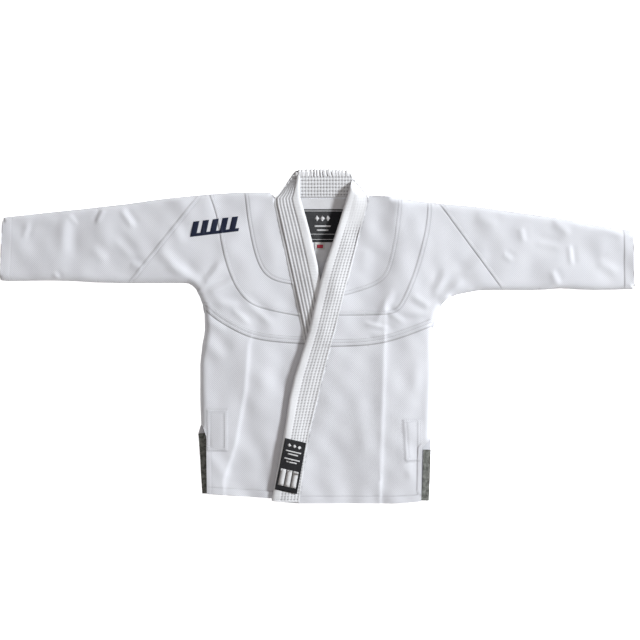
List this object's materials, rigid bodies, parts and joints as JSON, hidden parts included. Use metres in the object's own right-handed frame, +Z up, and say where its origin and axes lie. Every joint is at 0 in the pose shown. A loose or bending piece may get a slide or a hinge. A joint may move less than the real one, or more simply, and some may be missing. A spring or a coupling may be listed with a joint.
{
  "type": "martial arts jacket",
  "caption": "White pearl weave grappling jacket laid flat, with a quilted padded lapel, lapped fronts, vented sides and sleeves and a front that fold over.",
  "frame": {"origin": "middle of the laid-out jacket's outline, on the surface it lies on", "axes": "+X along the sleeves to the wearer's left cuff, +Y from hem to collar, +Z up from the surface"},
  "size_m": [1.458, 0.768, 0.0269],
  "materials": {
    "pearl_weave": "bleached white pearl weave cotton, matt",
    "lapel_drill": "bleached white cotton drill over a padded core, quilted in rows",
    "lapel_padding": "off-white layered padding",
    "lining": "plain white cotton facing",
    "contrast_tape": "charcoal herringbone cotton tape",
    "shoulder_mark": "navy-black dense embroidery",
    "woven_label": "black woven damask label with pale bars",
    "size_tag": "white satin ribbon tag"
  },
  "bodies": {
    "torso": {"back_panel": "pearl_weave", "right_front_panel": "pearl_weave", "right_underarm_panel": "pearl_weave", "right_front_skirt": "pearl_weave", "right_yoke": "pearl_weave", "right_chest_band": "pearl_weave", "left_front_panel_root": "pearl_weave", "left_underarm_panel_root": "pearl_weave", "left_front_skirt_root": "pearl_weave", "left_yoke_root": "pearl_weave", "left_chest_band_root": "pearl_weave", "right_side_seam": "pearl_weave", "right_shoulder_fold": "pearl_weave", "right_vent_patch": "pearl_weave", "left_side_seam": "pearl_weave", "left_shoulder_fold": "pearl_weave", "left_vent_patch": "pearl_weave", "collar_neck_lining": "lapel_drill", "collar_neck_face": "lapel_drill", "right_lapel_lining": "lapel_drill", "right_lapel_face": "lapel_drill", "left_lapel_root": "lapel_drill", "collar_neck_core": "lapel_padding", "right_lapel_core": "lapel_padding", "back_neck_facing": "lining", "right_vent_tape": "contrast_tape", "left_vent_tape": "contrast_tape", "neck_label": "woven_label", "shoulder_mark_body": "shoulder_mark"},
    "left_front": {"left_front_panel": "pearl_weave", "left_underarm_panel": "pearl_weave", "left_front_skirt": "pearl_weave", "left_yoke": "pearl_weave", "left_chest_band": "pearl_weave", "left_lapel_lining": "lapel_drill", "left_lapel_core": "lapel_padding", "left_lapel_face": "lapel_drill", "lapel_patch": "woven_label"},
    "size_tag": {"size_tag": "size_tag"},
    "right_upper_sleeve": {"right_sleeve_gore": "pearl_weave", "right_upper_sleeve_front": "pearl_weave", "right_upper_sleeve_back": "pearl_weave", "right_upper_sleeve_fold": "pearl_weave", "right_upper_sleeve_seam": "pearl_weave", "shoulder_mark_sleeve": "shoulder_mark"},
    "right_forearm": {"right_forearm_front": "pearl_weave", "right_forearm_back": "pearl_weave", "right_forearm_fold": "pearl_weave", "right_forearm_seam": "pearl_weave", "right_cuff_tape": "contrast_tape"},
    "left_upper_sleeve": {"left_sleeve_gore": "pearl_weave", "left_upper_sleeve_front": "pearl_weave", "left_upper_sleeve_back": "pearl_weave", "left_upper_sleeve_fold": "pearl_weave", "left_upper_sleeve_seam": "pearl_weave"},
    "left_forearm": {"left_forearm_front": "pearl_weave", "left_forearm_back": "pearl_weave", "left_forearm_fold": "pearl_weave", "left_forearm_seam": "pearl_weave", "left_cuff_tape": "contrast_tape"}
  },
  "joints": [
    {"name": "right_sleeve_fold", "type": "hinge", "parent": "torso", "child": "right_upper_sleeve", "pos_m": [-0.258, 0.21, 0.022], "axis": [0, 1, 0], "range_deg": [0, 170]},
    {"name": "left_sleeve_fold", "type": "hinge", "parent": "torso", "child": "left_upper_sleeve", "pos_m": [0.27, 0.2, 0.024], "axis": [0, 1, 0], "range_deg": [-170, 0]},
    {"name": "right_elbow_fold", "type": "hinge", "parent": "right_upper_sleeve", "child": "right_forearm", "pos_m": [-0.505, 0.21, 0.0165], "axis": [0, -1, 0], "range_deg": [-172, 0]},
    {"name": "left_elbow_fold", "type": "hinge", "parent": "left_upper_sleeve", "child": "left_forearm", "pos_m": [0.51, 0.19, 0.0165], "axis": [0, -1, 0], "range_deg": [0, 172]},
    {"name": "left_front_open", "type": "hinge", "parent": "torso", "child": "left_front", "pos_m": [0.0805, 0.375, 0.027], "axis": [-0.0912, 0.9958, 0], "range_deg": [0, 170]},
    {"name": "size_tag_flip", "type": "hinge", "parent": "torso", "child": "size_tag", "pos_m": [0.0069, 0.21585, 0.0046], "axis": [-1, 0, 0], "range_deg": [0, 150]}
  ]
}
